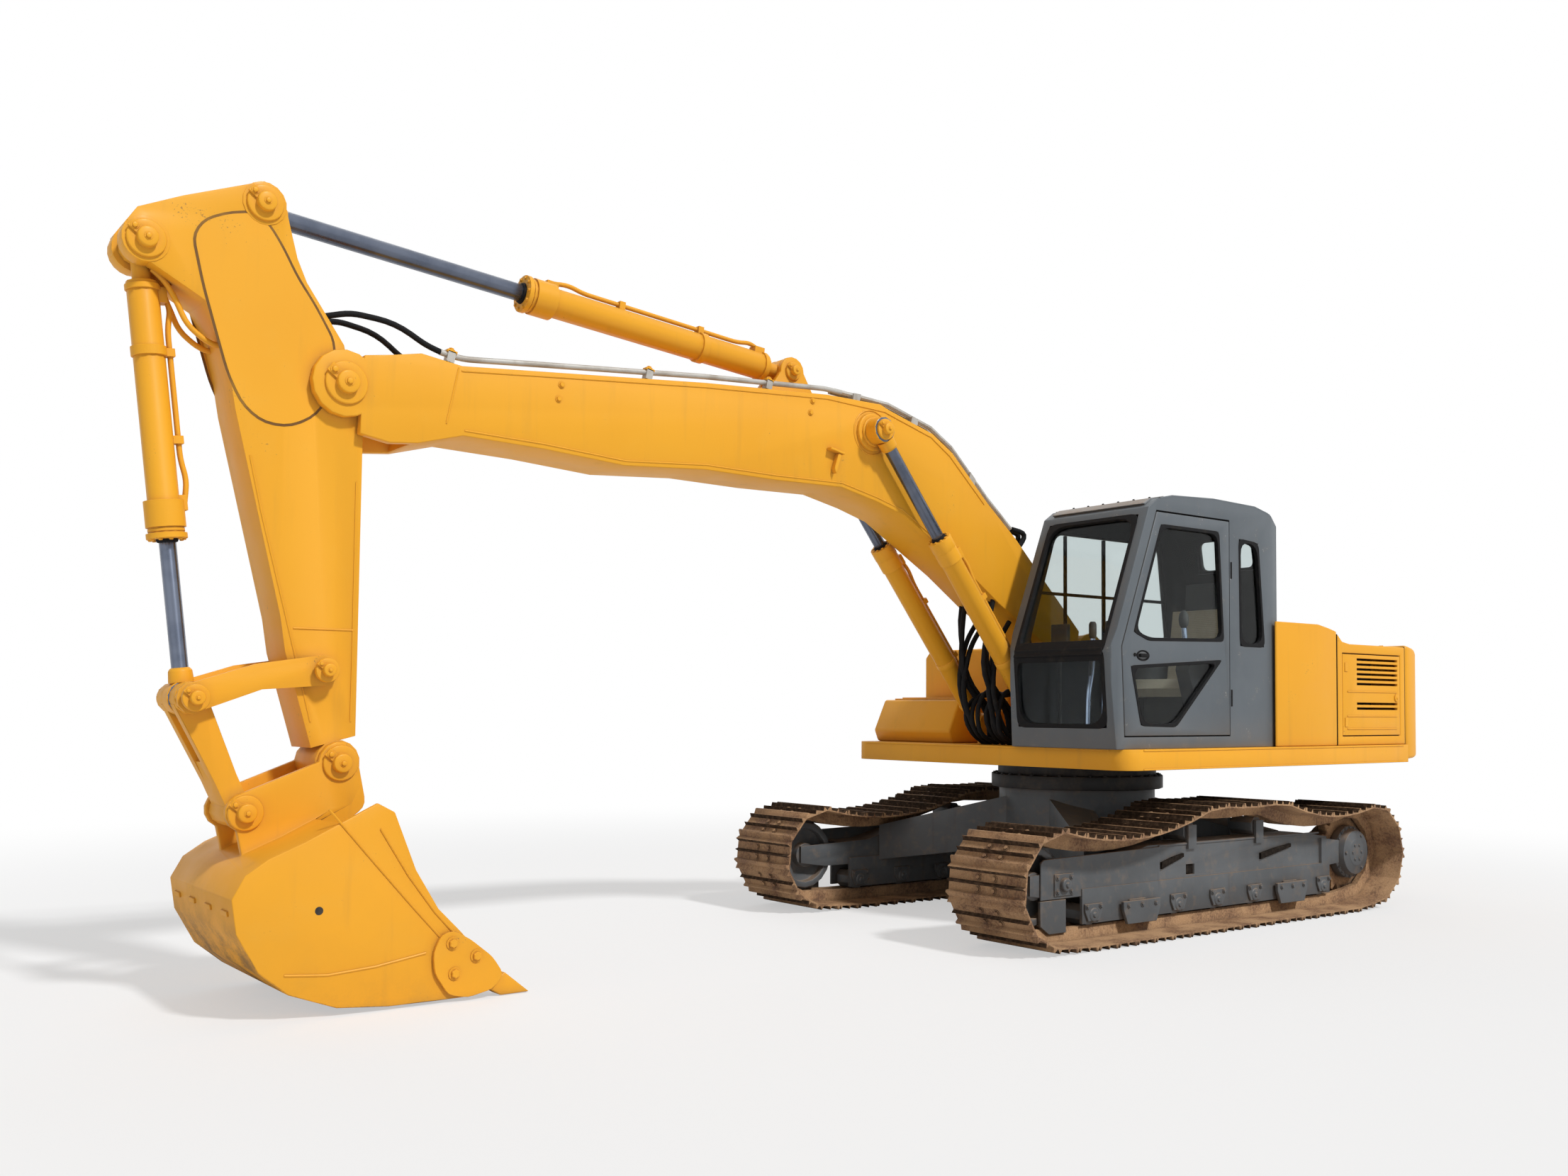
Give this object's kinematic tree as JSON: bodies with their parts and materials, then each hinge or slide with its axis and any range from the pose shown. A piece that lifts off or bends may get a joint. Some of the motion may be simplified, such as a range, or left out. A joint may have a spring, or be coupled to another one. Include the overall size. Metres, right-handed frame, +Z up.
{
  "type": "crawler excavator",
  "caption": "Crawler excavator with slewing upper structure, hollow cab, one-piece boom, arm and general purpose bucket on closed cylinder linkages.",
  "frame": {"origin": "on the ground, under the middle of the whole machine's length and width", "axes": "+X forward to the bucket, +Y to the machine's left, +Z up"},
  "size_m": [9.781, 2.95, 4.1483],
  "materials": {
    "machine_orange": "satin paint, dusty and lightly scratched",
    "cab_grey": "satin grey-blue paint",
    "frame_grey": "worn dark grey paint with dust",
    "dark_steel": "dark satin paint",
    "rusty_steel": "bare steel with brown rust and soil",
    "bright_steel": "polished rod",
    "pipe_grey": "grey painted pipe",
    "tinted_glass": "tinted glass",
    "seat_cloth": "woven seat cloth",
    "black_plastic": "matt moulded plastic"
  },
  "bodies": {
    "undercarriage": {"car_body": "frame_grey", "slew_ring": "dark_steel", "track_left": "rusty_steel", "track_right": "rusty_steel", "track_frame_left": "frame_grey", "track_frame_right": "frame_grey", "idler_left": "frame_grey", "idler_right": "frame_grey", "sprocket_left": "rusty_steel", "sprocket_right": "rusty_steel", "final_drive_left": "frame_grey", "final_drive_right": "frame_grey"},
    "house": {"deck_frame": "machine_orange", "counterweight": "machine_orange", "engine_housing": "machine_orange", "engine_block": "dark_steel", "cooler_core": "dark_steel", "side_housing": "machine_orange", "valve_cover": "machine_orange", "hydraulic_tank": "machine_orange", "fuel_tank": "machine_orange", "tool_box": "machine_orange", "cab_shell": "cab_grey", "screen_low_glass": "tinted_glass", "screen_high_glass": "tinted_glass", "rear_window_glass": "tinted_glass", "quarter_glass": "tinted_glass", "right_window_glass": "tinted_glass", "seat": "seat_cloth", "floor_controls": "black_plastic"},
    "cab_door": {"cab_door": "cab_grey", "door_glass_upper": "tinted_glass", "door_glass_lower": "tinted_glass"},
    "side_door_left": {"side_door_left": "machine_orange"},
    "side_door_right": {"side_door_right": "machine_orange"},
    "engine_lid": {"engine_lid": "machine_orange"},
    "boom": {"boom": "machine_orange", "boom_pipes": "pipe_grey"},
    "boom_barrels": {"boom_cylinder_barrel_left": "machine_orange", "boom_cylinder_barrel_right": "machine_orange"},
    "boom_rods": {"boom_cylinder_rod_left": "bright_steel", "boom_cylinder_rod_right": "bright_steel"},
    "arm_barrel": {"arm_cylinder_barrel": "machine_orange"},
    "arm_rod": {"arm_cylinder_rod": "bright_steel"},
    "arm": {"arm": "machine_orange"},
    "bucket_barrel": {"bucket_cylinder_barrel": "machine_orange"},
    "bucket_rod": {"bucket_cylinder_rod": "bright_steel"},
    "idler_links": {"idler_link_left": "machine_orange", "idler_link_right": "machine_orange"},
    "bucket_link": {"bucket_link": "machine_orange"},
    "bucket": {"bucket": "machine_orange", "bucket_teeth": "machine_orange"}
  },
  "joints": [
    {"name": "slew", "type": "hinge", "parent": "undercarriage", "child": "house", "pos_m": [-2.07454, 0, 1.02], "axis": [0, 0, 1], "continuous": true},
    {"name": "boom_lift", "type": "hinge", "parent": "house", "child": "boom", "pos_m": [-1.95454, 0, 1.93], "axis": [0, -1, 0], "range_deg": [-55, 32]},
    {"name": "arm_crowd", "type": "hinge", "parent": "boom", "child": "arm", "pos_m": [3.81406, 0, 3.173], "axis": [0, 1, 0], "range_deg": [-75, 25]},
    {"name": "bucket_curl", "type": "hinge", "parent": "arm", "child": "bucket", "pos_m": [3.8079, 0, 1.21201], "axis": [0, 1, 0], "range_deg": [-60, 85]},
    {"name": "boom_cylinder_tilt", "type": "hinge", "parent": "house", "child": "boom_barrels", "pos_m": [-1.33454, 0, 1.4], "axis": [0, -1, 0], "range_deg": [-58.87, 34.46]},
    {"name": "boom_cylinder_stroke", "type": "slide", "parent": "boom_barrels", "child": "boom_rods", "axis": [0.6226, 0, 0.7825], "range_m": [-0.6911, 0.4042]},
    {"name": "arm_cylinder_tilt", "type": "hinge", "parent": "boom", "child": "arm_barrel", "pos_m": [0.80104, 0, 3.71141], "axis": [0, 1, 0], "range_deg": [-1.4, 0.8]},
    {"name": "arm_cylinder_stroke", "type": "slide", "parent": "arm_barrel", "child": "arm_rod", "axis": [0.9955, 0, 0.0943], "range_m": [-1.1478, 0.3859]},
    {"name": "bucket_cylinder_tilt", "type": "hinge", "parent": "arm", "child": "bucket_barrel", "pos_m": [4.78184, 0, 3.73996], "axis": [0, 1, 0], "range_deg": [-4.65, 6.37]},
    {"name": "bucket_cylinder_stroke", "type": "slide", "parent": "bucket_barrel", "child": "bucket_rod", "axis": [-0.1122, 0, -0.9937], "range_m": [-0.4105, 0.5794]},
    {"name": "idler_link_turn", "type": "hinge", "parent": "arm", "child": "idler_links", "pos_m": [3.89739, 0, 1.68573], "axis": [0, 1, 0], "range_deg": [-47.2, 66.66]},
    {"name": "bucket_link_turn", "type": "hinge", "parent": "bucket", "child": "bucket_link", "pos_m": [4.28017, 0, 0.97496], "axis": [0, 1, 0], "range_deg": [-63.99, 45.32]},
    {"name": "cab_door_hinge", "type": "hinge", "parent": "house", "child": "cab_door", "pos_m": [-2.17896, 1.315, 2.1253], "axis": [0, 0, 1], "range_deg": [0, 150]},
    {"name": "side_door_left_hinge", "type": "hinge", "parent": "house", "child": "side_door_left", "pos_m": [-3.56484, 1.35, 1.64], "axis": [0, 0, -1], "range_deg": [0, 120]},
    {"name": "side_door_right_hinge", "type": "hinge", "parent": "house", "child": "side_door_right", "pos_m": [-3.56484, -1.35, 1.64], "axis": [0, 0, 1], "range_deg": [0, 120]},
    {"name": "engine_lid_hinge", "type": "hinge", "parent": "house", "child": "engine_lid", "pos_m": [-3.73484, 0, 2.03], "axis": [0, 1, 0], "range_deg": [0, 75]}
  ],
  "couplings": [
    {"joint": "boom_cylinder_tilt", "follows": "boom_lift", "ratio": 1.0613},
    {"joint": "boom_cylinder_stroke", "follows": "boom_lift", "m_per_rad": 0.7147},
    {"joint": "arm_cylinder_tilt", "follows": "arm_crowd", "ratio": 0.012},
    {"joint": "arm_cylinder_stroke", "follows": "arm_crowd", "m_per_rad": 0.873},
    {"joint": "bucket_cylinder_tilt", "follows": "bucket_curl", "ratio": 0.0691},
    {"joint": "bucket_cylinder_stroke", "follows": "bucket_curl", "m_per_rad": 0.3872},
    {"joint": "idler_link_turn", "follows": "bucket_curl", "ratio": 0.7784},
    {"joint": "bucket_link_turn", "follows": "bucket_curl", "ratio": -0.747}
  ]
}
